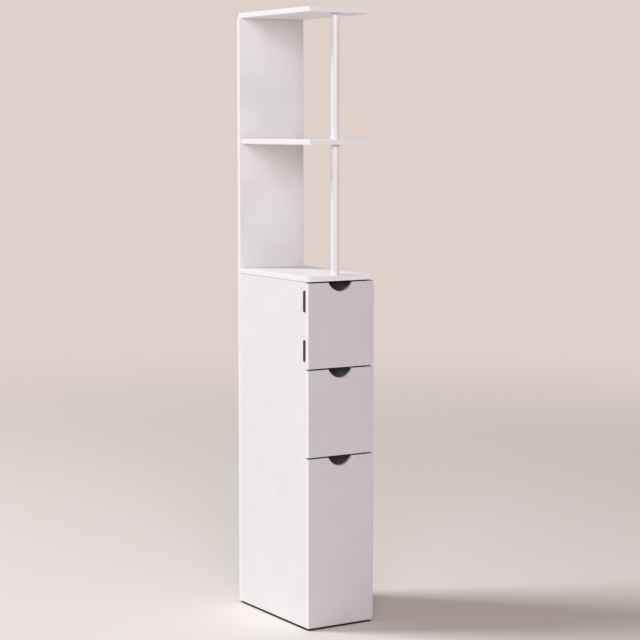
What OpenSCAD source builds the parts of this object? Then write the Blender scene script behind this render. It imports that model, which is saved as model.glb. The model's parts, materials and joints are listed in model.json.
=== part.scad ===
// Slim bathroom storage tower: two open shelves on a full-height back board and one
// round pole, above a base cabinet with a hinged door and two drawers on roller slides.
// X runs to the right, Y to the back and Z up. The origin is on the floor, under the
// centre of the footprint.

/* [Overall size] */
// Width across the base cabinet and the back board
tower_w = 147; // [140:1:180]
// Depth from the fronts to the back board's rear face
tower_d = 270; // [265:1:320]
// Height from the floor to the top board's upper face
tower_h = 1180; // [1120:1:1400]
// Height of the glides under the cabinet
glide_h = 4; // [2:0.5:6]

/* [Boards] */
// Thickness of every board
board_t = 10; // [10:0.5:12]
// Radius that eases the edges of the boards
edge_r = 1; // [0.4:0.1:1.5]
// How far the open shelves stand in from each side of the back board
shelf_inset = 4; // [0:0.5:8]
// Height of the middle shelf's underside
shelf_z = 924; // [900:1:960]
// Radius of the base top's front corners, seen from above
corner_r = 5; // [3:0.5:8]

/* [Fronts] */
// Height of the lower drawer's front
lower_front_h = 327.5; // [310:0.5:335]
// Height of the middle drawer's front
middle_front_h = 166.5; // [160:0.5:180]
// Height of the door
door_h = 162.5; // [155:0.5:180]
// Gap between two fronts, and above the door
front_gap = 2.5; // [1.5:0.5:3]
// Gap between the fronts and the cabinet behind them
seam = 0.5; // [0.4:0.1:1.5]
// Radius that eases the fronts' faces, their cut-outs' rims and the base top's upper edge
face_ease = 1.5; // [0.8:0.1:2]
// Radius of the finger cut-outs
cut_r = 31; // [25:1:35]
// Depth of the finger cut-outs
cut_depth = 17.5; // [12:0.5:18]

/* [Pole] */
// Outside diameter of the pole
pole_d = 16; // [14:1:20]
// Wall of the pole's tube
pole_wall = 1.2; // [1:0.1:1.5]
// Distance from the shelves' front edges to the pole's axis
pole_setback = 23; // [18:1:30]

/* [Door hinges] */
// Height of one butt hinge
hinge_h = 38; // [30:1:40]
// Distance from the door's top and bottom edges to a hinge
hinge_margin = 15.5; // [12:0.5:20]
// Outside radius of the knuckles
knuckle_r = 3; // [2.8:0.1:3.2]
// Radius of the hinge pins
hinge_pin_r = 1.2; // [1:0.1:1.3]
// Width of one leaf, from the pin's axis
leaf_w = 9.5; // [9:0.1:9.5]

/* [Drawers] */
// Height of the middle drawer's box
middle_box_h = 110; // [90:1:115]
// Height of the lower drawer's box
lower_box_h = 250; // [150:1:270]
// Length of the drawer boxes
box_l = 215; // [205:1:220]
// Thickness of the drawer bottoms
bottom_t = 3; // [3:0.5:4]
// How far a drawer slides out
travel = 160; // [120:1:165]

/* [Roller slides] */
// Length of the cabinet runners
runner_l = 220; // [216:1:230]
// Height of the cabinet runners
runner_h = 22; // [22:0.5:24]
// Room for a slide between the cabinet's side and the drawer box
slide_w = 12.5; // [12.5:0.1:13]
// Radius of the rollers
roller_r = 8.8; // [8.4:0.1:8.8]
// Width of the rollers
roller_w = 4.4; // [4:0.1:4.4]

/* [Hidden] */
$fn = 64;

// Running and drilling clearances
clear = 0.05;
roller_gap = 0.2;

// Radius that eases the edges along a seam
seam_ease = 0.5;

// Carcass planes
half_w = tower_w / 2;
inner_x = half_w - board_t;
front_y = -tower_d / 2;
back_y = tower_d / 2;
panel_y = back_y - board_t;
door_back_y = front_y + board_t;
carcass_y = door_back_y + seam;

// Levels of the fronts, from the floor up
lower_z = glide_h;
middle_z = lower_z + lower_front_h + front_gap;
door_z = middle_z + middle_front_h + front_gap;
base_top_z = door_z + door_h + front_gap;
top_z = tower_h - board_t;

// The dividers' undersides lie just above the gaps between the fronts
divider_rise = 2;
lower_divider_z = middle_z + divider_rise;
upper_divider_z = door_z + divider_rise;

// Dowels: holes in a face and in an edge, each a little deeper than the dowel goes
dowel_r = 3;
dowel_face = 7;
dowel_edge = 16;
dowel_play = 0.5;
dowel_l = dowel_face + dowel_edge - 2 * dowel_play;
dowel_chamfer = 0.6;
divider_dowel_ys = [-95, 95];
base_top_dowel_ys = [-80, 80];
top_dowel_xs = [-45, 0, 45];

// Countersunk screws: [shank radius, length, head radius]
carcass_screw = [1.75, 30, 3.5];
pole_screw = [2.5, 27, 4.8];
box_screw = [1.5, 25, 3];
front_screw = [1.75, 16, 3.5];
leaf_screw = [1.2, 8, 2.2];
head_rim = 0.3;
// Pan-head screws: [shank radius, length, head radius, head height]
runner_screw = [1.5, 9, 3, 1];
catch_screw = [1.25, 8, 2.5, 1.2];
// A pan head's flat top and upright rim, as shares of its radius and height
pan_flat = 0.7;
pan_rim = 0.4;

// Screws in the back board: heights along the sides, and distance from the middle
side_screw_zs = [70, 240, 420, 600];
floor_screw_x = 32;
// Screws in the drawer boxes: distances from the box's edges and from the middle
box_screw_low = 30;
box_screw_high = 20;
front_screw_x = 24;
front_screw_in = 28;

// Turns that make a screw's head face one way
UP = [0, 0, 0];
DOWN = [180, 0, 0];
BACK = [-90, 0, 0];
LEFT = [0, -90, 0];
RIGHT = [0, 90, 0];

// Pole and what holds it
pole_r = pole_d / 2;
pole_y = front_y + pole_setback;
plug_flange_t = 1.5;
plug_flange_r = pole_r - 0.5;
plug_body_r = pole_r - pole_wall - clear;
plug_foot_step = 0.5;
plug_l = 25;
plug_taper_l = 2;
plug_taper = 1;
stud_r = 2.5;
stud_reach = 16;

// Hinges: each leaf's far face lies leaf_offset from the pin's axis, so that the
// knuckles run clear of the boards
leaf_t = 1;
knuckle_play = 0.2;
leaf_offset = knuckle_r + knuckle_play;
hinge_x = -half_w;
hinge_y = door_back_y + leaf_offset;
knuckle_gap = 0.3;
knuckle_h = (hinge_h - 2 * knuckle_gap) / 3;
leaf_screw_dz = 12.5;
leaf_screw_x = hinge_x + 6.3;
leaf_play = 0.2;
leaf_root_w = 1;
pin_head_r = 2.2;
pin_head_t = 0.8;
pin_head_ease = 0.4;
pin_foot_r = 1.7;
pin_foot_t = 0.6;
recess_play = 0.4;
hinge_zs = [door_z + hinge_margin + hinge_h / 2, door_z + door_h - hinge_margin - hinge_h / 2];

// Magnetic catch, near the top of the door's free side
catch_z = base_top_z - 25;
catch_d = 28;
catch_w = 12;
catch_h = 14;
catch_wall = 2;
catch_ear_h = 7;
catch_ear_t = 1.6;
magnet_d = 10;
pole_plate_t = 1.2;
pole_plate_proud = 0.5;
strike_gap = 0.2;
strike_t = 1;
strike_inset = 0.5;
// Lowest corner of the catch's body
catch_lo = [inner_x - catch_w, door_back_y + strike_t + strike_gap, catch_z - catch_h / 2];

// Roller slides. In a slide's section, 0 is the cabinet side's inner face and the
// runner's lower face.
sheet_t = 1;
runner_y = carcass_y + 2;
lip_h = 3;
bottom_flange_w = 8.5;
top_flange_w = 7;
top_flange_start = 24;
axle_h = sheet_t + roller_gap + roller_r;
axle_r = 2;
axle_head_r = 3.2;
axle_head_t = 0.5;
roller_in = 2.9;
flange_h = axle_h + roller_r + roller_gap;
flange_end = 2.5;
front_roller_y = runner_y + 11;
rear_roller_y = runner_y + runner_l - 16;
member_l = runner_l - 4;
stop_r = 0.9;
stop_play = 0.3;
rear_stop_rise = 4;
member_foot_w = 9.5;
member_start = 2;
roller_room = 2;
hub_w = 1.6;
rim_w = 1.6;
web_sink = 0.8;
roller_ease = 0.4;
runner_screw_ys = [-80, 15, 70];
member_screw_ys = [-90, 5, 65];

// Drawer boxes: the slides stand a little above the board under them
box_x = inner_x - slide_w;
slide_rise = 3;
middle_slide_z = lower_divider_z + board_t + slide_rise;
lower_slide_z = glide_h + board_t + slide_rise;
box_rear_y = door_back_y + box_l;
groove_rise = 6;
groove_d = 4;
groove_play = 0.3;

// Glides under the cabinet's floor
glide_r = 9;
glide_ease_r = 1.5;
glide_ease_h = 1;
glide_x = inner_x - 12;
glide_places = [for (x = [-glide_x, glide_x], y = [carcass_y + 20, panel_y - 18]) [x, y]];
nail_r = 1.5;
nail_l = 7;
nail_tip = 1;

// ---- Shared shapes ----

// Rectangle from the origin, with corners of one radius below and another above
module rounded_rect(w, h, low_r, top_r) {
  translate([0, low_r]) square([w, h - low_r - top_r]);
  translate([low_r, 0]) square([w - 2 * low_r, h / 2]);
  translate([top_r, h / 2]) square([w - 2 * top_r, h / 2]);
  for (x = [low_r, w - low_r]) translate([x, low_r]) circle(low_r);
  for (x = [top_r, w - top_r]) translate([x, h - top_r]) circle(top_r);
}

// Flat board from the origin, whose lower and upper edges are eased by their own radii
module slab(size, low_r, top_r) {
  intersection() {
    linear_extrude(size.z) rounded_rect(size.x, size.y, edge_r, edge_r);
    translate([0, size.y, 0]) rotate([90, 0, 0])
      linear_extrude(size.y) rounded_rect(size.x, size.z, low_r, top_r);
    rotate([90, 0, 90]) linear_extrude(size.x) rounded_rect(size.y, size.z, low_r, top_r);
  }
}

// Board from its lowest corner to its highest one, with every edge eased alike
module board(lo, hi) {
  translate(lo) slab(hi - lo, edge_r, edge_r);
}

// Block with sharp edges, from its lowest corner to its highest one
module block(lo, hi) {
  translate(lo) cube(hi - lo);
}

// Countersunk screw with its head's face at the origin, or with play the hole for it
module sunk_screw(spec, play = 0) {
  r = spec[0] + play;
  head_r = spec[2] + play;
  tip_z = -spec[1] - play;
  rotate_extrude() polygon([
    [0, play], [head_r, play], [head_r, -head_rim],
    [r, -head_rim - head_r + r], [r, tip_z + spec[0]], [0, tip_z],
  ]);
}

// Pan-head screw with its head standing on the origin's plane
module pan_screw(spec) {
  rotate_extrude() polygon([
    [0, spec[3]], [spec[2] * pan_flat, spec[3]], [spec[2], spec[3] * pan_rim], [spec[2], 0],
    [spec[0], 0], [spec[0], spec[0] - spec[1]], [0, -spec[1]],
  ]);
}

// Hole for a pan-head screw's shank
module pan_hole(spec) {
  translate([0, 0, -spec[1] - clear])
    cylinder(h = spec[1] + 2 * clear, r = spec[0] + clear);
}

module place(p, turn) {
  translate(p) rotate(turn) children();
}

module sunk_screws(places, spec, play = 0) {
  for (p = places) place(p[0], p[1]) sunk_screw(spec, play);
}

module pan_screws(places, spec) {
  for (p = places) place(p[0], p[1]) pan_screw(spec);
}

module pan_holes(places, spec) {
  for (p = places) place(p[0], p[1]) pan_hole(spec);
}

// Dowel from its end in a face, going into the edge behind it, with chamfered ends
module dowel() {
  end_r = dowel_r - dowel_chamfer;
  translate([0, 0, dowel_play]) rotate_extrude() polygon([
    [0, 0], [end_r, 0], [dowel_r, dowel_chamfer], [dowel_r, dowel_l - dowel_chamfer],
    [end_r, dowel_l], [0, dowel_l],
  ]);
}

module dowel_holes(places) {
  for (p = places) place(p[0], p[1])
    cylinder(h = dowel_face + dowel_edge, r = dowel_r + clear);
}

// ---- Where the fixings go ----

floor_zs = [glide_h, lower_divider_z, upper_divider_z];

function side_dowels(s) = [
  for (z = floor_zs, y = divider_dowel_ys)
    [[s * (inner_x + dowel_face), y, z + board_t / 2], s < 0 ? RIGHT : LEFT]
];

function base_top_dowels(s) = [
  for (y = base_top_dowel_ys)
    [[s * (half_w - board_t / 2), y, base_top_z + dowel_face], DOWN]
];

top_dowels = [
  for (x = top_dowel_xs) [[x, back_y - board_t / 2, top_z + dowel_face], DOWN]
];

side_back_screws = [
  for (s = [-1, 1], z = side_screw_zs) [[s * (half_w - board_t / 2), back_y, z], BACK]
];

function floor_back_screws(z) = [
  for (x = [-floor_screw_x, floor_screw_x]) [[x, back_y, z + board_t / 2], BACK]
];

board_back_screws = [
  for (z = concat(floor_zs, [base_top_z, shelf_z])) each floor_back_screws(z)
];

function cabinet_runner_places(s, z) = [
  for (y = runner_screw_ys)
    [[s * (inner_x - sheet_t), y, z + axle_h], s < 0 ? RIGHT : LEFT]
];

function member_places(s, z) = [
  for (y = member_screw_ys) [[s * (box_x - groove_d), y, z], DOWN]
];

function frame_leaf_places(z) = [
  for (dz = [-1, 1])
    [[leaf_screw_x, hinge_y + leaf_offset - leaf_t, z + dz * leaf_screw_dz], [90, 0, 0]]
];

function door_leaf_places(z) = [
  for (dz = [-1, 1])
    [[leaf_screw_x, hinge_y - leaf_offset + leaf_t, z + dz * leaf_screw_dz], BACK]
];

catch_places = [
  for (dz = [-1, 1])
    [[inner_x - catch_ear_t, carcass_y + catch_d / 2, catch_z + dz * (catch_h + catch_ear_h) / 2],
     LEFT]
];

strike_place = [
  [inner_x - catch_w / 2 - strike_inset, door_back_y + strike_t, catch_z], BACK,
];

function box_screw_places(s, z, h) = [
  for (y = [door_back_y + board_t / 2, box_rear_y - board_t / 2],
       dz = [box_screw_low, h - box_screw_high])
    [[s * box_x, y, z + dz], s < 0 ? LEFT : RIGHT]
];

function front_screw_places(z, h) = [
  for (x = [-front_screw_x, front_screw_x], dz = [front_screw_in, h - front_screw_in])
    [[x, door_back_y + board_t, z + dz], BACK]
];

// ---- Carcass ----

module back_panel() {
  color("white") difference() {
    board([-half_w, panel_y, glide_h], [half_w, back_y, top_z]);
    sunk_screws(concat(side_back_screws, board_back_screws), carcass_screw, clear);
    dowel_holes(top_dowels);
  }
}

// Side panel on the left (s = -1) or on the right (s = 1)
module side_panel(s) {
  x = s * (half_w - board_t / 2);
  difference() {
    board([x - board_t / 2, carcass_y, glide_h], [x + board_t / 2, panel_y, base_top_z]);
    dowel_holes(concat(side_dowels(s), base_top_dowels(s)));
    sunk_screws(side_back_screws, carcass_screw, clear);
    for (z = [middle_slide_z, lower_slide_z])
      pan_holes(cabinet_runner_places(s, z), runner_screw);
    children();
  }
}

// Recesses in the left side's front edge, which take the hinges' frame leaves
module hinge_recess(z) {
  half_h = hinge_h / 2 + pin_head_t + recess_play;
  block([-half_w - 1, carcass_y - 1, z - half_h],
        [-inner_x + 1, hinge_y + leaf_offset, z + half_h]);
  sunk_screws(frame_leaf_places(z), leaf_screw, clear);
}

module left_side_panel() {
  color("white") side_panel(-1) {
    for (z = hinge_zs) hinge_recess(z);
  }
}

module right_side_panel() {
  color("white") side_panel(1) {
    pan_holes(catch_places, catch_screw);
  }
}

// Block that cuts out the base top's front corner on side s
module front_corner(s) {
  mirror([s < 0 ? 1 : 0, 0, 0])
    block([half_w - corner_r, front_y - 1, base_top_z - 1],
          [half_w + 1, front_y + corner_r, base_top_z + board_t + 1]);
}

// Disc that gives the base top's front corners their radius, with the board's eased edges
module corner_disc() {
  rotate_extrude() intersection() {
    translate([-corner_r, 0]) rounded_rect(2 * corner_r, board_t, seam_ease, face_ease);
    square([corner_r, board_t]);
  }
}

module base_top_blank() {
  difference() {
    translate([-half_w, front_y, base_top_z])
      slab([tower_w, panel_y - front_y, board_t], seam_ease, face_ease);
    for (s = [-1, 1]) front_corner(s);
  }
  for (s = [-1, 1]) intersection() {
    front_corner(s);
    translate([s * (half_w - corner_r), front_y + corner_r, base_top_z]) corner_disc();
  }
}

module base_top_board() {
  color("white") difference() {
    base_top_blank();
    for (s = [-1, 1]) dowel_holes(base_top_dowels(s));
    sunk_screws(floor_back_screws(base_top_z), carcass_screw, clear);
    place([0, pole_y, base_top_z], DOWN) sunk_screw(pole_screw, clear);
  }
}

// Board between the two sides, with its underside at z
module floor_board(z) {
  color("white") difference() {
    board([-inner_x, carcass_y, z], [inner_x, panel_y, z + board_t]);
    for (s = [-1, 1]) dowel_holes(side_dowels(s));
    sunk_screws(floor_back_screws(z), carcass_screw, clear);
    children();
  }
}

module bottom_board() {
  floor_board(glide_h) {
    for (p = glide_places) translate([p.x, p.y, glide_h - 1])
      cylinder(h = nail_l + 1 + clear, r = nail_r + clear);
  }
}

module lower_divider() {
  floor_board(lower_divider_z);
}

module upper_divider() {
  floor_board(upper_divider_z);
}

module middle_shelf() {
  w = half_w - shelf_inset;
  color("white") difference() {
    board([-w, front_y, shelf_z], [w, panel_y, shelf_z + board_t]);
    sunk_screws(floor_back_screws(shelf_z), carcass_screw, clear);
    translate([0, pole_y, shelf_z - 1]) cylinder(h = board_t + 2, r = stud_r + clear);
  }
}

// The top board lies on the back board's upper edge
module top_board() {
  w = half_w - shelf_inset;
  color("white") difference() {
    board([-w, front_y, top_z], [w, back_y, tower_h]);
    dowel_holes(top_dowels);
    place([0, pole_y, tower_h], UP) sunk_screw(pole_screw, clear);
  }
}

module dowels() {
  every = concat(side_dowels(-1), side_dowels(1), base_top_dowels(-1), base_top_dowels(1),
                 top_dowels);
  color("burlywood") for (p = every) place(p[0], p[1]) dowel();
}

module carcass_screws() {
  color("silver") sunk_screws(concat(side_back_screws, board_back_screws), carcass_screw);
}

module glides() {
  color("gainsboro") for (p = glide_places) translate([p.x, p.y, 0])
    rotate_extrude() polygon([
      [0, 0], [glide_r - glide_ease_r, 0], [glide_r, glide_ease_h], [glide_r, glide_h],
      [nail_r, glide_h], [nail_r, glide_h + nail_l - nail_tip], [0, glide_h + nail_l],
    ]);
}

// ---- Pole ----

// Tube that stands on one board; at its upper end the flange of a plug shows
module pole_tube(lo, hi) {
  color("whitesmoke") translate([0, pole_y, lo]) difference() {
    cylinder(h = hi - lo - plug_flange_t, r = pole_r);
    translate([0, 0, -1]) cylinder(h = hi - lo + 1, r = pole_r - pole_wall);
  }
}

module lower_pole() {
  pole_tube(base_top_z + board_t, shelf_z);
}

module upper_pole() {
  pole_tube(shelf_z + board_t, top_z);
}

// Plug from the origin up, with a flange of the given radius round its lower end
module end_plug(flange_r) {
  rotate_extrude() polygon([
    [stud_r + clear, 0], [flange_r, 0], [flange_r, plug_flange_t],
    [plug_body_r, plug_flange_t], [plug_body_r, plug_l - plug_taper_l],
    [plug_body_r - plug_taper, plug_l], [stud_r + clear, plug_l],
  ]);
}

// The lower plugs sit inside the tubes; the flanges of the upper ones carry the boards
module pole_end_plugs() {
  color("lightgray") {
    for (z = [base_top_z + board_t, shelf_z + board_t])
      translate([0, pole_y, z]) end_plug(plug_body_r - plug_foot_step);
    for (z = [shelf_z, top_z]) place([0, pole_y, z], DOWN) end_plug(plug_flange_r);
  }
}

module pole_joint_stud() {
  color("silver") translate([0, pole_y, shelf_z - stud_reach])
    cylinder(h = board_t + 2 * stud_reach, r = stud_r);
}

module pole_screws() {
  color("silver") {
    place([0, pole_y, tower_h], UP) sunk_screw(pole_screw);
    place([0, pole_y, base_top_z], DOWN) sunk_screw(pole_screw);
  }
}

// ---- Door ----

// Section of what rounding a bore's rim by r takes away, with the face at the origin
module rim_section(r) {
  translate([cut_r, -r]) difference() {
    square([r, r + 1]);
    translate([r, 0]) circle(r);
  }
}

// Finger cut-out through a front that lies on its back, about the cut-out's axis
module finger_cut() {
  rotate_extrude() {
    translate([0, -1]) square([cut_r, board_t + 2]);
    translate([0, board_t]) rim_section(face_ease);
    mirror([0, 1]) rim_section(seam_ease);
  }
}

// Overlay front from z up, as wide as the tower
module front_board(z, h) {
  color("white") difference() {
    translate([-half_w, door_back_y, z]) rotate([90, 0, 0]) difference() {
      slab([tower_w, h, board_t], seam_ease, face_ease);
      translate([half_w, h + cut_r - cut_depth, 0]) finger_cut();
    }
    children();
  }
}

module door_panel() {
  front_board(door_z, door_h) {
    for (z = hinge_zs) sunk_screws(door_leaf_places(z), leaf_screw, clear);
    place(strike_place[0], strike_place[1]) sunk_screw(leaf_screw, clear);
  }
}

// One knuckle around the pin's axis, from z up
module knuckle(z, h) {
  translate([hinge_x, hinge_y, z]) cylinder(h = h, r = knuckle_r);
}

// Leaf plate on one side of the axis (dir = -1 door, 1 frame), with tabs to its knuckles
module hinge_leaf(zc, dir, spans, places) {
  near = dir * (leaf_offset - leaf_t);
  far = dir * leaf_offset;
  y_lo = hinge_y + min(near, far);
  difference() {
    union() {
      block([hinge_x + knuckle_r + leaf_play, y_lo, zc - hinge_h / 2],
            [hinge_x + leaf_w, y_lo + leaf_t, zc + hinge_h / 2]);
      for (span = spans) {
        knuckle(zc + span[0], span[1] - span[0]);
        block([hinge_x, y_lo, zc + span[0]],
              [hinge_x + knuckle_r + leaf_root_w, y_lo + leaf_t, zc + span[1]]);
      }
    }
    translate([hinge_x, hinge_y, zc - hinge_h / 2 - 1])
      cylinder(h = hinge_h + 2, r = hinge_pin_r + clear);
    sunk_screws(places, leaf_screw, clear);
  }
}

module hinge_frame_leaves() {
  end = hinge_h / 2;
  color("dimgray") for (z = hinge_zs)
    hinge_leaf(z, 1, [[-end, knuckle_h - end], [end - knuckle_h, end]], frame_leaf_places(z));
}

module hinge_door_leaves() {
  color("dimgray") for (z = hinge_zs)
    hinge_leaf(z, -1, [[-knuckle_h / 2, knuckle_h / 2]], door_leaf_places(z));
}

module hinge_pins() {
  end = hinge_h / 2;
  color("dimgray") for (z = hinge_zs) translate([hinge_x, hinge_y, z])
    rotate_extrude() polygon([
      [0, -end - pin_foot_t], [pin_foot_r, -end - pin_foot_t], [pin_foot_r, -end],
      [hinge_pin_r, -end], [hinge_pin_r, end], [pin_head_r, end],
      [pin_head_r, end + pin_head_t - pin_head_ease],
      [pin_head_r - pin_head_ease, end + pin_head_t], [0, end + pin_head_t],
    ]);
}

module hinge_frame_screws() {
  color("dimgray") for (z = hinge_zs) sunk_screws(frame_leaf_places(z), leaf_screw);
}

module hinge_door_screws() {
  color("dimgray") for (z = hinge_zs) sunk_screws(door_leaf_places(z), leaf_screw);
}

module catch_body() {
  ear_lo = [inner_x - catch_ear_t, catch_lo.y, catch_lo.z - catch_ear_h];
  color("white") difference() {
    union() {
      block(catch_lo, [inner_x, catch_lo.y + catch_d, catch_lo.z + catch_h]);
      block(ear_lo, [inner_x, catch_lo.y + catch_d, catch_lo.z + catch_h + catch_ear_h]);
    }
    block([catch_lo.x + catch_wall, catch_lo.y - 1, catch_lo.z + catch_wall],
          [inner_x - catch_wall, catch_lo.y + magnet_d, catch_lo.z + catch_h - catch_wall]);
    pan_holes(catch_places, catch_screw);
  }
}

// Flat magnet between two steel pole plates that stand a little proud of it
module catch_magnet() {
  lo = catch_lo + [catch_wall + clear, 0, catch_wall];
  hi = [inner_x - catch_wall - clear, lo.y + magnet_d,
        lo.z + catch_h - 2 * catch_wall - clear];
  color("gray") {
    block([lo.x, lo.y + pole_plate_proud, lo.z], hi);
    block(lo, [lo.x + pole_plate_t, hi.y, hi.z]);
    block([hi.x - pole_plate_t, lo.y, lo.z], hi);
  }
}

module catch_screws() {
  color("silver") pan_screws(catch_places, catch_screw);
}

module strike_plate() {
  w = catch_w - 2 * strike_inset;
  lo = [strike_place[0].x - w / 2, door_back_y, catch_z - catch_h / 2];
  color("silver") difference() {
    block(lo, lo + [w, strike_t, catch_h]);
    place(strike_place[0], strike_place[1]) sunk_screw(leaf_screw, clear);
  }
}

module strike_screw() {
  color("silver") place(strike_place[0], strike_place[1]) sunk_screw(leaf_screw);
}

// ---- Roller slides ----

// Puts a slide's section (distance from the cabinet's side, height) on side s at height z
module on_side(s, z) {
  translate([s * inner_x, 0, z]) mirror([s < 0 ? 0 : 1, 0, 0]) children();
}

// Extrudes a slide's section along the depth, from y0 to y1
module along_depth(y0, y1) {
  translate([0, y1, 0]) rotate([90, 0, 0]) linear_extrude(y1 - y0) children();
}

// Riveted axle: a shoulder from the sheet to the roller, the journal and a flat head
module axle(y, from, to, dir) {
  shoulder = abs(to - from);
  journal = roller_w + 2 * roller_gap;
  translate([from, y, axle_h]) rotate([0, 90 * dir, 0]) {
    cylinder(h = shoulder, r = axle_head_r);
    cylinder(h = shoulder + journal, r = axle_r);
    translate([0, 0, shoulder + journal]) cylinder(h = axle_head_t, r = axle_head_r);
  }
}

// C-shaped runner on the cabinet's side, with the front roller's axle, a bump that
// stops the rear roller at full travel, and a bent stop at its rear end
module cabinet_runner(s, z) {
  stop_dy = sqrt(pow(roller_r + stop_r, 2) - pow(axle_h - stop_r, 2)) + stop_play;
  color("gainsboro") difference() {
    on_side(s, z) {
      difference() {
        along_depth(runner_y, runner_y + runner_l) polygon([
          [0, 0], [bottom_flange_w, 0], [bottom_flange_w, lip_h],
          [bottom_flange_w - sheet_t, lip_h], [bottom_flange_w - sheet_t, sheet_t],
          [sheet_t, sheet_t], [sheet_t, runner_h - sheet_t],
          [top_flange_w, runner_h - sheet_t], [top_flange_w, runner_h], [0, runner_h],
        ]);
        block([sheet_t, runner_y - 1, flange_h],
              [top_flange_w + 1, runner_y + top_flange_start, runner_h + 1]);
      }
      block([0, runner_y + runner_l - sheet_t, 0],
            [top_flange_w, runner_y + runner_l, axle_h + rear_stop_rise]);
      translate([0, rear_roller_y - travel - stop_dy, stop_r]) rotate([0, 90, 0])
        cylinder(h = bottom_flange_w, r = stop_r);
      axle(front_roller_y, sheet_t, roller_in - roller_gap, 1);
    }
    pan_holes(cabinet_runner_places(s, z), runner_screw);
  }
}

// Runner on the drawer box: a flange under the box's side, a web, and a flange that
// rides on the front roller. Its rear end carries the rear roller's axle.
module drawer_runner(s, z) {
  rear = roller_in + roller_w + roller_gap;
  web = slide_w - sheet_t;
  foot = slide_w + member_foot_w;
  start_y = door_back_y + member_start;
  color("gainsboro") difference() {
    on_side(s, z) {
      along_depth(start_y, start_y + member_l) polygon([
        [web, 0], [foot, 0], [foot, sheet_t], [slide_w, sheet_t],
        [slide_w, flange_h + sheet_t], [web, flange_h + sheet_t],
      ]);
      along_depth(start_y, rear_roller_y - roller_r - roller_room)
        translate([flange_end, flange_h]) square([web - flange_end + sheet_t / 2, sheet_t]);
      axle(rear_roller_y, web, rear, -1);
    }
    pan_holes(member_places(s, z), runner_screw);
  }
}

// Nylon roller with a recessed web in each face
module roller() {
  half = roller_w / 2;
  web = half - web_sink;
  edge = half - roller_ease;
  hub = axle_r + hub_w;
  rim = roller_r - rim_w;
  rotate_extrude() polygon([
    [axle_r + clear, -half], [hub, -half], [hub, -web], [rim, -web], [rim, -half],
    [roller_r - roller_ease, -half], [roller_r, -edge], [roller_r, edge],
    [roller_r - roller_ease, half], [rim, half], [rim, web], [hub, web], [hub, half],
    [axle_r + clear, half],
  ]);
}

// The two rollers that turn on one line, at y and at the height of slide z
module roller_pair(y, z) {
  color("white") for (s = [-1, 1]) on_side(s, z)
    translate([roller_in + roller_w / 2, y, axle_h]) rotate([0, 90, 0]) roller();
}

module middle_left_cabinet_runner() {
  cabinet_runner(-1, middle_slide_z);
}

module middle_right_cabinet_runner() {
  cabinet_runner(1, middle_slide_z);
}

module lower_left_cabinet_runner() {
  cabinet_runner(-1, lower_slide_z);
}

module lower_right_cabinet_runner() {
  cabinet_runner(1, lower_slide_z);
}

module cabinet_runner_screws() {
  color("silver") for (s = [-1, 1], z = [middle_slide_z, lower_slide_z])
    pan_screws(cabinet_runner_places(s, z), runner_screw);
}

module middle_front_rollers() {
  roller_pair(front_roller_y, middle_slide_z);
}

module middle_rear_rollers() {
  roller_pair(rear_roller_y, middle_slide_z);
}

module lower_front_rollers() {
  roller_pair(front_roller_y, lower_slide_z);
}

module lower_rear_rollers() {
  roller_pair(rear_roller_y, lower_slide_z);
}

// ---- Drawers ----

// A box's lower edge rests on the runners' lower flanges
function box_z(slide_z) = slide_z + sheet_t;

module drawer_front(z, h, slide_z, box_h) {
  front_board(z, h)
    sunk_screws(front_screw_places(box_z(slide_z), box_h), front_screw, clear);
}

// Groove that holds the box's bottom
module bottom_groove(z) {
  x = box_x - board_t + groove_d;
  block([-x, door_back_y + board_t - groove_d, z + groove_rise],
        [x, box_rear_y + 1, z + groove_rise + bottom_t + groove_play]);
}

module box_side(s, slide_z, h) {
  z = box_z(slide_z);
  x = s * (box_x - board_t / 2);
  color("white") difference() {
    board([x - board_t / 2, door_back_y, z], [x + board_t / 2, box_rear_y, z + h]);
    bottom_groove(z);
    sunk_screws(box_screw_places(s, z, h), box_screw, clear);
    pan_holes(member_places(s, slide_z), runner_screw);
  }
}

module box_front(slide_z, h) {
  z = box_z(slide_z);
  x = box_x - board_t;
  color("white") difference() {
    board([-x, door_back_y, z], [x, door_back_y + board_t, z + h]);
    bottom_groove(z);
    for (s = [-1, 1]) sunk_screws(box_screw_places(s, z, h), box_screw, clear);
    sunk_screws(front_screw_places(z, h), front_screw, clear);
  }
}

// The box's back stands on its bottom
module box_back(slide_z, h) {
  z = box_z(slide_z);
  x = box_x - board_t;
  color("white") difference() {
    board([-x, box_rear_y - board_t, z + groove_rise + bottom_t], [x, box_rear_y, z + h]);
    for (s = [-1, 1]) sunk_screws(box_screw_places(s, z, h), box_screw, clear);
  }
}

module box_bottom(slide_z) {
  z = box_z(slide_z) + groove_rise;
  x = box_x - board_t + groove_d - groove_play;
  color("white") block([-x, door_back_y + board_t - groove_d + groove_play, z],
                       [x, box_rear_y, z + bottom_t]);
}

module box_screws(slide_z, h) {
  color("silver") for (s = [-1, 1])
    sunk_screws(box_screw_places(s, box_z(slide_z), h), box_screw);
}

module front_screws(slide_z, h) {
  color("silver") sunk_screws(front_screw_places(box_z(slide_z), h), front_screw);
}

module drawer_runner_screws(slide_z) {
  color("silver") for (s = [-1, 1]) pan_screws(member_places(s, slide_z), runner_screw);
}

module middle_drawer_front() {
  drawer_front(middle_z, middle_front_h, middle_slide_z, middle_box_h);
}

module middle_box_front() {
  box_front(middle_slide_z, middle_box_h);
}

module middle_box_left_side() {
  box_side(-1, middle_slide_z, middle_box_h);
}

module middle_box_right_side() {
  box_side(1, middle_slide_z, middle_box_h);
}

module middle_box_back() {
  box_back(middle_slide_z, middle_box_h);
}

module middle_box_bottom() {
  box_bottom(middle_slide_z);
}

module middle_box_screws() {
  box_screws(middle_slide_z, middle_box_h);
}

module middle_front_screws() {
  front_screws(middle_slide_z, middle_box_h);
}

module middle_left_drawer_runner() {
  drawer_runner(-1, middle_slide_z);
}

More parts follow.
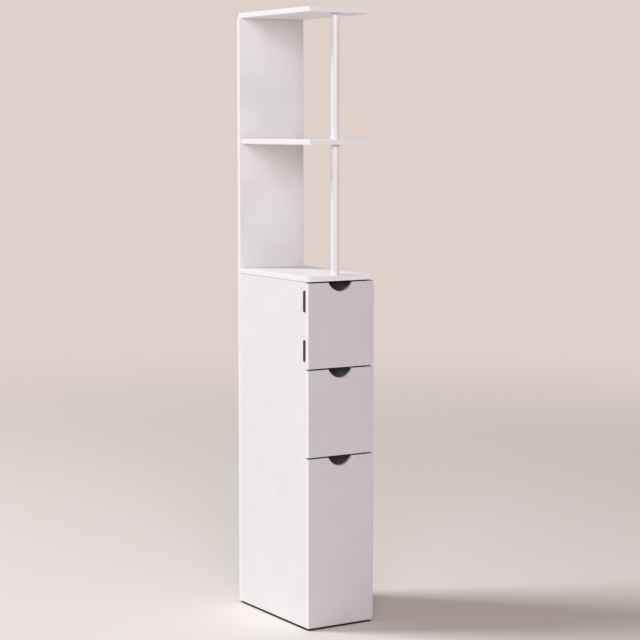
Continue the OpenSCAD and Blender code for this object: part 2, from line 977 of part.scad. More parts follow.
module middle_right_drawer_runner() {
  drawer_runner(1, middle_slide_z);
}

module middle_drawer_runner_screws() {
  drawer_runner_screws(middle_slide_z);
}

module lower_drawer_front() {
  drawer_front(lower_z, lower_front_h, lower_slide_z, lower_box_h);
}

module lower_box_front() {
  box_front(lower_slide_z, lower_box_h);
}

module lower_box_left_side() {
  box_side(-1, lower_slide_z, lower_box_h);
}

module lower_box_right_side() {
  box_side(1, lower_slide_z, lower_box_h);
}

module lower_box_back() {
  box_back(lower_slide_z, lower_box_h);
}

module lower_box_bottom() {
  box_bottom(lower_slide_z);
}

module lower_box_screws() {
  box_screws(lower_slide_z, lower_box_h);
}

module lower_front_screws() {
  front_screws(lower_slide_z, lower_box_h);
}

module lower_left_drawer_runner() {
  drawer_runner(-1, lower_slide_z);
}

module lower_right_drawer_runner() {
  drawer_runner(1, lower_slide_z);
}

module lower_drawer_runner_screws() {
  drawer_runner_screws(lower_slide_z);
}

// ---- The assembly ----

back_panel();
left_side_panel();
right_side_panel();
base_top_board();
bottom_board();
lower_divider();
upper_divider();
middle_shelf();
top_board();
lower_pole();
upper_pole();
pole_end_plugs();
pole_joint_stud();
pole_screws();
glides();
dowels();
carcass_screws();
hinge_frame_leaves();
hinge_pins();
hinge_frame_screws();
catch_body();
catch_magnet();
catch_screws();
middle_left_cabinet_runner();
middle_right_cabinet_runner();
lower_left_cabinet_runner();
lower_right_cabinet_runner();
cabinet_runner_screws();
door_panel();
hinge_door_leaves();
hinge_door_screws();
strike_plate();
strike_screw();
middle_drawer_front();
middle_box_front();
middle_box_left_side();
middle_box_right_side();
middle_box_back();
middle_box_bottom();
middle_box_screws();
middle_front_screws();
middle_left_drawer_runner();
middle_right_drawer_runner();
middle_drawer_runner_screws();
lower_drawer_front();
lower_box_front();
lower_box_left_side();
lower_box_right_side();
lower_box_back();
lower_box_bottom();
lower_box_screws();
lower_front_screws();
lower_left_drawer_runner();
lower_right_drawer_runner();
lower_drawer_runner_screws();
middle_front_rollers();
middle_rear_rollers();
lower_front_rollers();
lower_rear_rollers();
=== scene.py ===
import json
import math

import bpy
from mathutils import Matrix, Vector

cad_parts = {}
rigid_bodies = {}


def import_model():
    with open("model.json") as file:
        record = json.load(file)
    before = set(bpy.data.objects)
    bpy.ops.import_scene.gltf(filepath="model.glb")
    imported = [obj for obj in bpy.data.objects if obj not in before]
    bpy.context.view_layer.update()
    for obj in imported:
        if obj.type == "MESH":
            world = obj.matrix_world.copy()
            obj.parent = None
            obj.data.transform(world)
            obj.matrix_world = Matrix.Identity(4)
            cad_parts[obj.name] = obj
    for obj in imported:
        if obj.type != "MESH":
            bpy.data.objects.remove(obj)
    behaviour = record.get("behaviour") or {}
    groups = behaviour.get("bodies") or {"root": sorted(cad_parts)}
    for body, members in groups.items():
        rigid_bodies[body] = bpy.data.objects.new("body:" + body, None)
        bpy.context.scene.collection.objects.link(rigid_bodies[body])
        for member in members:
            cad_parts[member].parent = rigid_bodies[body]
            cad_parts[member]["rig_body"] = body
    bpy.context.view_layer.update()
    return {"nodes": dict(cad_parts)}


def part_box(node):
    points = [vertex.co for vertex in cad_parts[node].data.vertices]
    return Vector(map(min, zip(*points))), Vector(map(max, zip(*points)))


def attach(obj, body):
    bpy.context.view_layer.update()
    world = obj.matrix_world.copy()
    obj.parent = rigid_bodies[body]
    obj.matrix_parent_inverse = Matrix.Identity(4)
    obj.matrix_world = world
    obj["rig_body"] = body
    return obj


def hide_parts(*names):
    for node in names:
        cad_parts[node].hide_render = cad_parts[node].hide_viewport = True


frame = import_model()

# The camera stands to the front left of the tower, a little above the middle shelf, and looks
# slightly down along the line from which the photograph was taken. Its turns are in radians.
LOOK_DOWN = 0.1013
LOOK_RIGHT = 0.5513
camera = bpy.data.objects.new("camera", bpy.data.cameras.new("camera"))
bpy.context.scene.collection.objects.link(camera)
camera.data.sensor_width = 36
camera.data.lens = 106.8
camera.location = (-1.9106, -3.1649, 0.9574)
camera.rotation_euler = (math.radians(90) - LOOK_DOWN, 0, -LOOK_RIGHT)
bpy.context.scene.camera = camera

# Back board: one full-height white board of foil-faced chipboard. Its edges are closed with
# plastic strips that are trimmed flush and eased, so a fine joint line runs beside each edge.
# Only the foot, which nobody sees, is left sawn.
MM = 0.001


class Socket:
    """An output of a material's node. Arithmetic on it adds Math nodes."""

    def __init__(self, finish, output):
        self.finish = finish
        self.output = output

    def math(self, operation, *values):
        inputs = dict(enumerate(values))
        return self.finish.add("Math", {"operation": operation}, inputs)

    def __add__(self, other):
        return self.math("ADD", self, other)

    def __sub__(self, other):
        return self.math("SUBTRACT", self, other)

    def __rsub__(self, other):
        return self.math("SUBTRACT", other, self)

    def __mul__(self, other):
        return self.math("MULTIPLY", self, other)

    def __abs__(self):
        return self.math("ABSOLUTE", self)

    def least(self, other):
        return self.math("MINIMUM", self, other)

    def most(self, other):
        return self.math("MAXIMUM", self, other)

    def root(self):
        return self.math("SQRT", self)

    def ramp(self, start, end):
        """0 at start and 1 at end, with a soft step between them. Start may be the larger."""
        inputs = {"Value": self, "From Min": start, "From Max": end}
        return self.finish.add("MapRange", {"interpolation_type": "SMOOTHSTEP"}, inputs)

    def up_to(self, level):
        """1 up to a level in metres, and 0 just past it."""
        return self.ramp(level + 0.1 * MM, level + 0.05 * MM)

    __radd__ = __add__
    __rmul__ = __mul__


class Finish:
    """The nodes that paint a material, or the light of the world."""

    def __init__(self, owner):
        self.owner = owner
        owner.use_nodes = True
        owner.node_tree.nodes.clear()
        self.place = self.add("TexCoord", output="Object")

    def add(self, kind, settings=None, inputs=None, output=0):
        """Adds a node, with its settings first and then the values or links of its sockets."""
        tree = self.owner.node_tree
        node = tree.nodes.new("ShaderNode" + kind)
        for name, value in (settings or {}).items():
            setattr(node, name, value)
        for name, value in (inputs or {}).items():
            if isinstance(value, Socket):
                tree.links.new(value.output, node.inputs[name])
            else:
                node.inputs[name].default_value = value
        return Socket(self, node.outputs[output]) if node.outputs else None

    def axis(self, letter):
        return self.add("SeparateXYZ", inputs={"Vector": self.place}, output=letter)

    def noise(self, grain, detail=2.0, stretch=None):
        """Noise with features about grain metres long. Stretch is a scale for each axis of the
        pattern, and a small one draws the features out along its axis."""
        place = self.place
        if stretch:
            place = self.add("Mapping", inputs={"Vector": place, "Scale": stretch})
        inputs = {"Vector": place, "Scale": 1 / grain, "Detail": detail}
        return self.add("TexNoise", inputs=inputs, output="Fac")

    def mix(self, share, first, second):
        """Colour between two others. A Mix node has its colours at inputs 6 and 7, output 2."""
        inputs = {0: share, 6: first, 7: second}
        return self.add("Mix", {"data_type": "RGBA"}, inputs, output=2)

    def bump(self, height, depth):
        """Normal of a surface that height raises by up to depth metres."""
        return self.add("Bump", inputs={"Height": height, "Distance": depth})

    def surface(self, **sockets):
        inputs = {name.replace("_", " "): value for name, value in sockets.items()}
        shader = self.add("BsdfPrincipled", inputs=inputs)
        self.add("OutputMaterial", inputs={"Surface": shader})
        return self.owner


def tone(red, green, blue):
    """A colour that is given as a screen shows it, from 0 to 255."""
    shares = [c / 255 for c in (red, green, blue)]
    linear = [s / 12.92 if s < 0.04045 else ((s + 0.055) / 1.055) ** 2.4 for s in shares]
    return (*linear, 1.0)


def coat(node, material):
    """Gives a CAD node this material."""
    for place in frame["nodes"][node].material_slots:
        place.material = material


FOIL = tone(240, 238, 239)
FOIL_SHADE = tone(236, 233, 234)
FOIL_PAINTED_LIGHTER = tone(247, 245, 246)
STRIP = tone(246, 244, 245)
STRIP_JOINT = tone(214, 210, 208)
STRIP_WORN = tone(216, 212, 208)
SEAM_SHADE = tone(150, 146, 146)
CHIP_PALE = tone(196, 168, 132)
CHIP_BROWN = tone(160, 130, 96)
STRIP_THICK = 1 * MM
STRIP_SOFT = 0.05 * MM
JOINT_WIDTH = 0.2 * MM


def foil(node, bare=None, seam=None, face=FOIL):
    """Foil of colour face on a board, with plastic strips round its edges. Bare is a function
    that gives the places where the board is cut open, and seam one for a painted shade along a
    joint."""
    low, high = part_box(node)
    size = high - low
    middle = (high + low) / 2
    paint = Finish(bpy.data.materials.new("foil_" + node))
    thin = min(range(3), key=lambda axis: size[axis])
    inside = [
        size[axis] / 2 - abs(paint.axis(letter) - middle[axis])
        for axis, letter in enumerate("XYZ")
    ]
    depth = inside.pop(thin)
    outline = inside[0].least(inside[1])
    inner = STRIP_THICK - STRIP_SOFT
    strip = outline.ramp(STRIP_THICK + STRIP_SOFT, inner)
    joint = strip * outline.ramp(inner - JOINT_WIDTH, inner)
    corner = depth.most(outline).ramp(0.8 * MM, 0.3 * MM)
    worn = corner * paint.noise(6 * MM, 3).ramp(0.45, 0.7)
    cloud = paint.noise(90 * MM, 3)
    fleck = paint.noise(0.7 * MM, 1)
    body = paint.mix(cloud.ramp(0.35, 0.65) * 0.6 + fleck * 0.25, face, FOIL_SHADE)
    colour = paint.mix(strip, body, STRIP)
    colour = paint.mix(joint * 0.6, colour, STRIP_JOINT)
    colour = paint.mix(worn * 0.5, colour, STRIP_WORN)
    rough = 0.4 + 0.08 * paint.noise(25 * MM) - 0.08 * strip + 0.15 * worn
    height = paint.noise(0.35 * MM) * (1 - strip) - joint
    # Painted shade: a grey line along the joint, where the groove would lie in shadow.
    if seam:
        colour = paint.mix(seam(paint) * 0.9, colour, SEAM_SHADE)
    if bare:
        open_board = bare(paint)
        chips = paint.noise(1.6 * MM, 3)
        raw = paint.mix(chips.ramp(0.3, 0.7), CHIP_PALE, CHIP_BROWN)
        colour = paint.mix(open_board, colour, raw)
        rough = rough + open_board * 0.45
        height = height + open_board * chips * 8
    return paint.surface(
        Base_Color=colour, Roughness=rough, Normal=paint.bump(height, 0.02 * MM)
    )


def sawn_foot(paint):
    return paint.axis("Z").up_to(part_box("back_panel")[0].z)


# Painted light: the back board's foil is a lighter white than the other boards', standing in for
# more light falling on it in the open bays.
coat("back_panel", foil("back_panel", bare=sawn_foot, face=FOIL_PAINTED_LIGHTER))

# Side panels: the same foil-faced chipboard, held by screws from behind. A shade is painted
# along their joint with the base top above them. The left one is cut back at its front edge for
# the hinges' frame leaves and the heads of their pins, and the raw board shows there.
HINGE_HEIGHT = 38 * MM
PIN_HEAD = 0.8 * MM
RECESS_PLAY = 0.4 * MM
RECESS_HALF = HINGE_HEIGHT / 2 + PIN_HEAD + RECESS_PLAY
RECESS_FLOOR = -118.6 * MM


def cut_for_hinges(paint):
    low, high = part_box("hinge_frame_leaves")
    front = paint.axis("Y").up_to(RECESS_FLOOR)
    heights = []
    for middle in (low.z + HINGE_HEIGHT / 2, high.z - HINGE_HEIGHT / 2):
        away = abs(paint.axis("Z") - middle)
        heights.append(away.up_to(RECESS_HALF))
    return sawn_foot(paint).most(front * heights[0].most(heights[1]))


# Place of the painted shade: the panel's top edge, under the base top.
def upper_joint(paint):
    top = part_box("left_side_panel")[1].z
    return paint.axis("Z").ramp(top - 0.9 * MM, top - 0.5 * MM)


coat("left_side_panel", foil("left_side_panel", bare=cut_for_hinges, seam=upper_joint))
coat("right_side_panel", foil("right_side_panel", bare=sawn_foot, seam=upper_joint))

# Base top: the lid of the cabinet, a board with rounded front corners that covers the sides
# and the fronts. It is dowelled to the sides and held by screws from behind.
coat("base_top_board", foil("base_top_board"))

# Floors of the cabinet's three compartments: boards between the sides, dowelled to them and
# held by screws from behind.
for node in ("bottom_board", "lower_divider", "upper_divider"):
    coat(node, foil(node))

# Middle shelf and top board: boards that are narrower than the back board that carries them.
# The shelf is held by screws from behind, and the top is dowelled on the back's upper edge.
for node in ("middle_shelf", "top_board"):
    coat(node, foil(node))

# Pole: a steel tube in two lengths, one in each open bay, powder coated white with a fine
# orange peel. Plugs in its ends take the screws at its top and foot and the stud between.
POLISHED_COAT = tone(150, 149, 146)
POLE_WHITE = tone(242, 240, 242)
POLE_SHADE = tone(239, 236, 238)


def powder_coat(name, colour, shade, track=None):
    """Powder coat on steel. Track is a function that gives the places that a roller polishes."""
    paint = Finish(bpy.data.materials.new(name))
    peel = paint.noise(0.8 * MM, 2)
    colour = paint.mix(paint.noise(30 * MM), colour, shade)
    rough = 0.3 + 0.08 * paint.noise(8 * MM)
    if track:
        rolled = track(paint) * paint.noise(9 * MM, 2, stretch=(1, 0.2, 1)).ramp(0.25, 0.6)
        colour = paint.mix(rolled * 0.5, colour, POLISHED_COAT)
        rough = rough - 0.1 * rolled
    return paint.surface(
        Base_Color=colour,
        Roughness=rough,
        Coat_Weight=0.2,
        Coat_Roughness=0.15,
        Normal=paint.bump(peel, 0.03 * MM),
    )


pole_coat = powder_coat("pole_coat", POLE_WHITE, POLE_SHADE)
for node in ("lower_pole", "upper_pole"):
    coat(node, pole_coat)

# Plugs in the ends of the pole, and the body of the door catch: moulded plastic. The plugs are
# pushed in, and the catch is screwed to the right side panel.
PLUG_GREY = tone(184, 181, 184)
PLUG_SHADE = tone(176, 173, 176)
CATCH_WHITE = tone(235, 234, 232)
CATCH_SHADE = tone(228, 227, 224)


def moulded(name, colour, shade):
    paint = Finish(bpy.data.materials.new(name))
    return paint.surface(
        Base_Color=paint.mix(paint.noise(4 * MM), colour, shade),
        Roughness=0.45 + 0.1 * paint.noise(3 * MM),
        Normal=paint.bump(paint.noise(0.25 * MM), 0.01 * MM),
    )


coat("pole_end_plugs", moulded("plug_plastic", PLUG_GREY, PLUG_SHADE))
coat("catch_body", moulded("catch_plastic", CATCH_WHITE, CATCH_SHADE))

# Glides: pale plastic feet, nailed under the cabinet's bottom board and scuffed grey where
# they stand on the ground.
GLIDE_PALE = tone(205, 203, 200)
GLIDE_SCUFFED = tone(128, 124, 119)
SCUFF_HEIGHT = 1.2 * MM
scuffed = Finish(bpy.data.materials.new("glide_plastic"))
scuff = scuffed.axis("Z").ramp(SCUFF_HEIGHT, 0) * scuffed.noise(1.2 * MM, 3).ramp(0.35, 0.6)
coat("glides", scuffed.surface(
    Base_Color=scuffed.mix(scuff * 0.7, GLIDE_PALE, GLIDE_SCUFFED),
    Roughness=0.45 + 0.3 * scuff,
    Normal=scuffed.bump(scuffed.noise(0.3 * MM) - scuff, 0.02 * MM),
))

# Stud in the middle shelf and strike plate on the door: steel with bright zinc plating. The
# stud joins the two lengths of the pole, and the plate is screwed on where the magnet meets it.
ZINC_PALE = tone(205, 206, 208)
ZINC_DARK = tone(176, 178, 184)
zinc = Finish(bpy.data.materials.new("bright_zinc"))
cloud = zinc.noise(1.5 * MM, 3)
plated = zinc.surface(
    Base_Color=zinc.mix(cloud, ZINC_PALE, ZINC_DARK),
    Metallic=1.0,
    Roughness=0.24 + 0.16 * zinc.noise(0.8 * MM),
    Normal=zinc.bump(zinc.noise(0.3 * MM), 0.008 * MM),
)
for node in ("pole_joint_stud", "strike_plate"):
    coat(node, plated)

# Dowels: beech pins with chamfered ends, glued into holes in the faces and the edges of the
# boards that they join.
BEECH_PALE = tone(214, 178, 132)
BEECH_DARK = tone(188, 146, 100)
beech = Finish(bpy.data.materials.new("beech"))
fibre = beech.noise(0.5 * MM, 4, stretch=(1, 1, 0.15))
coat("dowels", beech.surface(
    Base_Color=beech.mix(fibre.ramp(0.3, 0.7), BEECH_PALE, BEECH_DARK),
    Roughness=0.6 + 0.15 * fibre,
    Normal=beech.bump(fibre, 0.05 * MM),
))

# Magnet of the door catch: a dark ferrite block between two steel pole plates that stand
# a little proud of it. All three are pushed into the front of the catch's body.
FERRITE = tone(62, 62, 66)
FERRITE_DARK = tone(48, 48, 52)
PLATE_STEEL = tone(178, 178, 180)
POLE_PLATE = 1.2 * MM
low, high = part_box("catch_magnet")
ferrite = Finish(bpy.data.materials.new("ferrite"))
end = (ferrite.axis("X") - low.x).least(high.x - ferrite.axis("X"))
plate = end.ramp(POLE_PLATE + 0.05 * MM, POLE_PLATE)
block = ferrite.mix(ferrite.noise(0.6 * MM), FERRITE, FERRITE_DARK)
coat("catch_magnet", ferrite.surface(
    Base_Color=ferrite.mix(plate, block, PLATE_STEEL),
    Metallic=plate,
    Roughness=0.6 - 0.25 * plate,
    Normal=ferrite.bump(ferrite.noise(0.3 * MM) * (1 - plate), 0.03 * MM),
))

# Hinges: stamped steel leaves rolled round a pin, coated dark grey and rubbed lighter in
# patches. One leaf is screwed in the side's recess, and the other on the back of the door.
HINGE_DARK = tone(46, 46, 49)
HINGE_RUBBED = tone(60, 60, 63)
hinge_paint = Finish(bpy.data.materials.new("hinge_paint"))
rub = hinge_paint.noise(1.2 * MM, 3)
hinge_steel = hinge_paint.surface(
    Base_Color=hinge_paint.mix(rub.ramp(0.3, 0.7), HINGE_DARK, HINGE_RUBBED),
    Metallic=0.3,
    Roughness=0.4 + 0.15 * rub,
    Normal=hinge_paint.bump(hinge_paint.noise(0.4 * MM), 0.02 * MM),
)
for node in ("hinge_frame_leaves", "hinge_door_leaves", "hinge_pins"):
    coat(node, hinge_steel)

# Door and drawer fronts: boards with a cool grey-white satin face and white eased edges. Painted
# shade darkens the top edge in the gap under the board above, and a little the cut-out's rim.
# Fingers have rubbed the face round each cut-out.
FRONT_FACE = tone(217, 213, 219)
FRONT_SHADE = tone(213, 208, 215)
FRONT_RUBBED = tone(200, 193, 197)
FRONT_PAINTED_SHADE = tone(104, 100, 102)
CUT_RADIUS = 31 * MM
CUT_DEPTH = 17.5 * MM
RUBBED_WIDTH = 9 * MM


def front_finish(node):
    low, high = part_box(node)
    paint = Finish(bpy.data.materials.new("finish_" + node))
    rise = paint.axis("Z") - (high.z + CUT_RADIUS - CUT_DEPTH)
    across = paint.axis("X")
    reach = (rise * rise + across * across).root() - CUT_RADIUS
    rubbed = reach.ramp(RUBBED_WIDTH, 0) * paint.noise(6 * MM, 3).ramp(0.3, 0.7)
    depth = (paint.axis("Y") - low.y).least(high.y - paint.axis("Y"))
    edge = depth.ramp(0.15 * MM, 0.45 * MM)
    upper_edge = paint.axis("Z").ramp(high.z - 0.7 * MM, high.z - 0.4 * MM)
    # Painted shade: the top edge in the gap under the board above, and the cut-out's rim more
    # deeply inside, are darkened in patches.
    ledge = upper_edge * depth.ramp(0.5 * MM, 0.8 * MM)
    rim = reach.ramp(0.6 * MM, 0.3 * MM) * (paint.axis("Y") - low.y).ramp(1 * MM, 8 * MM)
    shade_patches = paint.noise(12 * MM, 4).ramp(0.25, 0.6)
    painted_edge_shade = ledge * (0.7 + 0.3 * shade_patches) + rim * shade_patches * 0.3
    cloud = paint.noise(70 * MM, 3).ramp(0.35, 0.65)
    face = paint.mix(cloud * 0.6, FRONT_FACE, FRONT_SHADE)
    face = paint.mix(rubbed * 0.25, face, FRONT_RUBBED)
    peel = paint.noise(1.3 * MM, 2)
    return paint.surface(
        Base_Color=paint.mix(painted_edge_shade, paint.mix(edge, face, STRIP), FRONT_PAINTED_SHADE),
        Roughness=0.38 + 0.06 * paint.noise(18 * MM) - 0.08 * rubbed,
        Coat_Weight=0.1,
        Coat_Roughness=0.3,
        Normal=paint.bump(peel, 0.012 * MM),
    )


for node in ("door_panel", "middle_drawer_front", "lower_drawer_front"):
    coat(node, front_finish(node))

# Drawer boxes: white foil-faced boards. Screws through the sides hold the front and the back of
# each box, and screws from inside the box hold the drawer's front.
for drawer in ("middle", "lower"):
    for part in ("front", "left_side", "right_side", "back"):
        node = f"{drawer}_box_{part}"
        coat(node, foil(node))

# Drawer bottoms: thin hardboard with a white printed face and a bare brown back, slid into
# grooves in the box from behind, under the box's back.
PRINTED_WHITE = tone(236, 234, 232)
HARDBOARD = tone(158, 122, 88)
HARDBOARD_DARK = tone(128, 96, 68)


def hardboard(node):
    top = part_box(node)[1].z
    paint = Finish(bpy.data.materials.new("hardboard_" + node))
    face = paint.axis("Z").ramp(top - 0.3 * MM, top - 0.1 * MM)
    fibre = paint.noise(0.6 * MM, 4)
    bare = paint.mix(fibre, HARDBOARD, HARDBOARD_DARK)
    return paint.surface(
        Base_Color=paint.mix(face, bare, PRINTED_WHITE),
        Roughness=0.75 - 0.3 * face,
        Normal=paint.bump(fibre * (1 - 0.8 * face), 0.06 * MM),
    )


for drawer in ("middle", "lower"):
    coat(f"{drawer}_box_bottom", hardboard(f"{drawer}_box_bottom"))

# Roller slides: folded steel sheet with an off-white epoxy coat, polished grey along the
# paths of the rollers. One runner of each pair is screwed to the cabinet's side, and the
# other under the side of the drawer's box.
EPOXY = tone(228, 226, 220)
EPOXY_SHADE = tone(220, 217, 210)
SHEET = 1 * MM
ROLLER_FLANGE = 18.8 * MM


def roller_path(level):
    """Function that gives the places at a height along which a roller runs."""
    def path(paint):
        return abs(paint.axis("Z") - level).up_to(0)
    return path


for drawer in ("middle", "lower"):
    for side in ("left", "right"):
        for member, rise in (("cabinet_runner", SHEET), ("drawer_runner", ROLLER_FLANGE)):
            node = f"{drawer}_{side}_{member}"
            path = roller_path(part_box(node)[0].z + rise)
            coat(node, powder_coat("epoxy_" + node, EPOXY, EPOXY_SHADE, path))

# Rollers: nylon, moulded with a sunk web in each face, and grey where they run. They turn on
# axles that are riveted to the runners.
NYLON = tone(232, 230, 222)
NYLON_GRIMY = tone(150, 148, 142)
ROLLER_RADIUS = 8.8 * MM
TREAD_DEPTH = 0.3 * MM
for drawer in ("middle", "lower"):
    for end in ("front", "rear"):
        node = f"{drawer}_{end}_rollers"
        low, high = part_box(node)
        nylon = Finish(bpy.data.materials.new("nylon_" + node))
        rise = nylon.axis("Z") - (low.z + high.z) / 2
        along = nylon.axis("Y") - (low.y + high.y) / 2
        reach = (rise * rise + along * along).root()
        tread = reach.ramp(ROLLER_RADIUS - TREAD_DEPTH, ROLLER_RADIUS)
        grime = tread * nylon.noise(2 * MM, 3).ramp(0.3, 0.6)
        coat(node, nylon.surface(
            Base_Color=nylon.mix(grime * 0.6, NYLON, NYLON_GRIMY),
            Roughness=0.35 + 0.2 * grime,
            Normal=nylon.bump(nylon.noise(0.3 * MM), 0.01 * MM),
        ))

# Screws: steel with a cross recess in the head. Those of the hinges are coated as the leaves
# are, and all the others are zinc plated. The thread is left off the shank, because every
# shank is hidden in a board or a plug.
SCREW_SIDES = 28
SMOOTH_ANGLE = math.radians(25)
NEXT_TURN = math.radians(37)
HEAD_RIM = 0.3 * MM
SAME_PLACE = 0.001 * MM
NEAR_END = 0.05 * MM


def turned(name, steps):
    """Closed round bar through steps of (radius, height), from its top face down."""
    bpy.ops.object.select_all(action="DESELECT")
    radius, height = steps[0]
    bpy.ops.mesh.primitive_circle_add(
        vertices=SCREW_SIDES, radius=radius, fill_type="NGON", location=(0, 0, height))
    bar = bpy.context.object
    bar.name = name
    bpy.ops.object.transform_apply()
    bpy.ops.object.mode_set(mode="EDIT")
    bpy.ops.mesh.select_all(action="SELECT")
    for next_radius, next_height in steps[1:]:
        drop = (0, 0, next_height - height)
        bpy.ops.mesh.extrude_region_move(TRANSFORM_OT_translate={"value": drop})
        scale = next_radius / radius
        bpy.ops.transform.resize(
            value=(scale, scale, 1), center_override=(0, 0, next_height))
        radius, height = next_radius, next_height
    bpy.ops.mesh.select_all(action="SELECT")
    bpy.ops.mesh.normals_make_consistent(inside=False)
    bpy.ops.object.mode_set(mode="OBJECT")
    return bar


def cut_recess(screw, head):
    """Cuts a cross recess that narrows downwards into the screw's top face."""
    depth = 0.6 * head
    for turn in (0, 90):
        bpy.ops.object.select_all(action="DESELECT")
        bpy.ops.mesh.primitive_cube_add(
            size=1, location=(0, 0, 0), scale=(1.1 * head, 0.3 * head, 2 * depth))
        blade = bpy.context.object
        bpy.ops.object.transform_apply()
        bpy.ops.object.mode_set(mode="EDIT")
        bpy.ops.mesh.select_all(action="DESELECT")
        bpy.ops.object.mode_set(mode="OBJECT")
        for face in blade.data.polygons:
            face.select = face.normal.z < -0.9
        bpy.ops.object.mode_set(mode="EDIT")
        bpy.ops.transform.resize(value=(0.45, 0.6, 1), center_override=(0, 0, -depth))
        bpy.ops.object.mode_set(mode="OBJECT")
        blade.data.transform(Matrix.Rotation(math.radians(turn), 4, "Z"))
        cut = screw.modifiers.new("recess", "BOOLEAN")
        cut.operation = "DIFFERENCE"
        cut.object = blade
        bpy.context.view_layer.objects.active = screw
        bpy.ops.object.modifier_apply(modifier=cut.name)
        bpy.data.objects.remove(blade)


def screw_steps(shank, length, head, dome):
    """Steps of a countersunk screw, or with a dome's height those of a pan-head screw."""
    tip = [(shank, shank - length), (0.15 * shank, -length)]
    if not dome:
        return [(0.94 * head, 0), (head, -0.05 * head), (head, -HEAD_RIM),
                (shank, -HEAD_RIM - head + shank)] + tip
    lowered = [(radius, height - dome) for radius, height in tip]
    return [(0.55 * head, 0), (0.8 * head, -0.1 * dome), (0.95 * head, -0.35 * dome),
            (head, -0.65 * dome), (head, -dome), (shank, -1.01 * dome)] + lowered


def plain_screws(node):
    """Top of each of a node's plain screws, and the direction in which its head faces."""
    bpy.ops.object.select_all(action="DESELECT")
    plain = frame["nodes"][node].copy()
    plain.data = plain.data.copy()
    plain.parent = None
    bpy.context.scene.collection.objects.link(plain)
    plain.select_set(True)
    bpy.context.view_layer.objects.active = plain
    bpy.ops.object.mode_set(mode="EDIT")
    bpy.ops.mesh.select_all(action="SELECT")
    bpy.ops.mesh.remove_doubles(threshold=SAME_PLACE)
    bpy.ops.mesh.separate(type="LOOSE")
    bpy.ops.object.mode_set(mode="OBJECT")
    places = []
    for part in list(bpy.context.selected_objects):
        points = [vertex.co.copy() for vertex in part.data.vertices]
        low = Vector([min(point[axis] for point in points) for axis in range(3)])
        high = Vector([max(point[axis] for point in points) for axis in range(3)])
        middle = (low + high) / 2
        long = max(range(3), key=lambda axis: high[axis] - low[axis])
        widths = []
        for end in (low, high):
            rim = [point - middle for point in points if abs(point[long] - end[long]) < NEAR_END]
            across = [math.sqrt(sum(p[a] ** 2 for a in range(3) if a != long)) for p in rim]
            widths.append(max(across))
        facing = -1 if widths[0] > widths[1] else 1
        direction = Vector([facing if axis == long else 0 for axis in range(3)])
        top = middle.copy()
        top[long] = high[long] if facing > 0 else low[long]
        places.append((top, direction))
        bpy.data.objects.remove(part)
    return sorted(places, key=lambda place: tuple(place[0]))


def drive_screws(node, material, shank, length, head, dome=0):
    """Replaces a node's plain screws, each where the plain one is and with its head that way."""
    places = plain_screws(node)
    screw = turned(node + "_cross_recessed", screw_steps(shank, length, head, dome))
    cut_recess(screw, head)
    screw.data.materials.append(material)
    master = screw.data.copy()
    copies = []
    for number, (top, direction) in enumerate(places):
        one = screw
        if number:
            one = bpy.data.objects.new("screw", master.copy())
            bpy.context.scene.collection.objects.link(one)
        turn = Matrix.Rotation(NEXT_TURN * number, 4, "Z")
        facing = direction.to_track_quat("Z", "Y").to_matrix().to_4x4()
        one.data.transform(Matrix.Translation(top) @ facing @ turn)
        copies.append(one)
    bpy.ops.object.select_all(action="DESELECT")
    for one in copies:
        one.select_set(True)
    bpy.context.view_layer.objects.active = screw
    if len(copies) > 1:
        bpy.ops.object.join()
    bpy.ops.object.shade_smooth_by_angle(angle=SMOOTH_ANGLE)
    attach(screw, frame["nodes"][node]["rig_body"])
    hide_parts(node)


for node, shank, length, head in (
    ("carcass_screws", 1.75, 30, 3.5),
    ("pole_screws", 2.5, 27, 4.8),
    ("middle_box_screws", 1.5, 25, 3),
    ("lower_box_screws", 1.5, 25, 3),
    ("middle_front_screws", 1.75, 16, 3.5),
    ("lower_front_screws", 1.75, 16, 3.5),
    ("strike_screw", 1.2, 8, 2.2),
):
    drive_screws(node, plated, shank * MM, length * MM, head * MM)
for node, length, head, dome in (
    ("cabinet_runner_screws", 9, 3, 1),
    ("middle_drawer_runner_screws", 9, 3, 1),
    ("lower_drawer_runner_screws", 9, 3, 1),
    ("catch_screws", 8, 2.5, 1.2),
):
    shank = head / 2
    drive_screws(node, plated, shank * MM, length * MM, head * MM, dome * MM)
for node in ("hinge_frame_screws", "hinge_door_screws"):
    drive_screws(node, hinge_steel, 1.2 * MM, 8 * MM, 2.2 * MM)
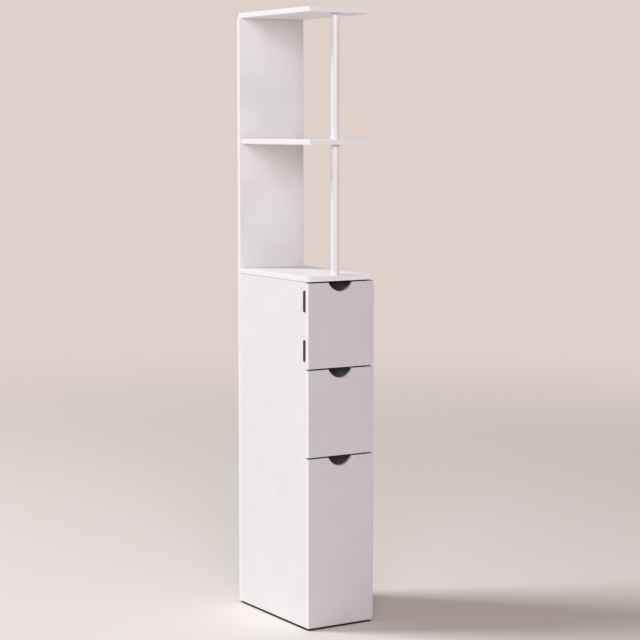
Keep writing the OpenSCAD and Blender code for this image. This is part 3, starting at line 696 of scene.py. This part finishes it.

# Floor of the studio: a wide pale sheet that fades into the background, with a deep shade
# painted on it in the low gap under the cabinet.
BACKDROP = tone(223, 209, 202)
FLOOR = tone(235, 227, 223)
FLOOR_CLOUD = tone(231, 222, 217)
DEEP_SHADE = tone(66, 61, 59)
FLOOR_RADIUS = 9
FADE_START = 1.2
FADE_END = 4.5
bpy.ops.object.select_all(action="DESELECT")
bpy.ops.mesh.primitive_circle_add(vertices=96, radius=FLOOR_RADIUS, fill_type="NGON")
floor = bpy.context.object
floor.name = "floor"
ground = Finish(bpy.data.materials.new("floor"))
distance = ground.add("VectorMath", {"operation": "LENGTH"}, {0: ground.place}, "Value")
half_w, half_d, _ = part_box("back_panel")[1]
# Painted shade: the floor under the cabinet is darkened, with a soft edge at the front.
covered = (half_w - abs(ground.axis("X"))).least(half_d - ground.axis("Y"))
shade = covered.ramp(-1 * MM, 3 * MM) * (ground.axis("Y") + half_d).ramp(-2 * MM, 6 * MM)
bare_floor = ground.mix(ground.noise(0.25, 3) * 0.3, FLOOR, FLOOR_CLOUD)
sheet = ground.add("BsdfPrincipled", inputs={
    "Base Color": ground.mix(shade, bare_floor, DEEP_SHADE),
    "Roughness": 0.7,
})
clear = ground.add("BsdfTransparent")
fade = distance.ramp(FADE_START, FADE_END)
faded = ground.add("MixShader", inputs={0: fade, 1: sheet, 2: clear})
ground.add("OutputMaterial", inputs={"Surface": faded})
floor.data.materials.append(ground.owner)

# Studio light: a high soft lamp behind the left side casts the shadow on the floor. A soft box
# in front to the left fills the faces that the camera sees, and the room adds a weak warm
# light from all round.
ROOM_LIGHT = 0.23
ROOM_COLOUR = (1.0, 0.85, 0.78, 1)
bpy.context.scene.world = bpy.data.worlds.new("studio")
studio = Finish(bpy.context.scene.world)
seen = studio.add("LightPath", output="Is Camera Ray")
for kind in ("Is Glossy Ray", "Is Transmission Ray"):
    seen = seen.most(studio.add("LightPath", output=kind))
room = studio.add("Background", inputs={"Color": ROOM_COLOUR, "Strength": ROOM_LIGHT})
backdrop = studio.add("Background", inputs={"Color": BACKDROP})
lit = studio.add("MixShader", inputs={0: seen, 1: room, 2: backdrop})
studio.add("OutputWorld", inputs={"Surface": lit})

for name, place, aim, width, height, power, colour in (
    ("key", (-3.2, 2.4, 5.4), 0.6, 1.6, 2.0, 300, (0.91, 0.99, 1.0)),
    ("fill", (-2.2, -3.9, 2.0), 0.8, 2.4, 1.8, 107, (0.96, 0.95, 1.0)),
):
    lamp = bpy.data.lights.new(name, "AREA")
    lamp.shape = "RECTANGLE"
    lamp.size, lamp.size_y = width, height
    lamp.energy = power
    lamp.color = colour
    stand = bpy.data.objects.new(name, lamp)
    bpy.context.scene.collection.objects.link(stand)
    stand.location = place
    away = Vector((0, 0, aim)) - Vector(place)
    stand.rotation_euler = away.to_track_quat("-Z", "Y").to_euler()
    stand.visible_camera = False

bpy.context.scene.view_settings.view_transform = "Standard"
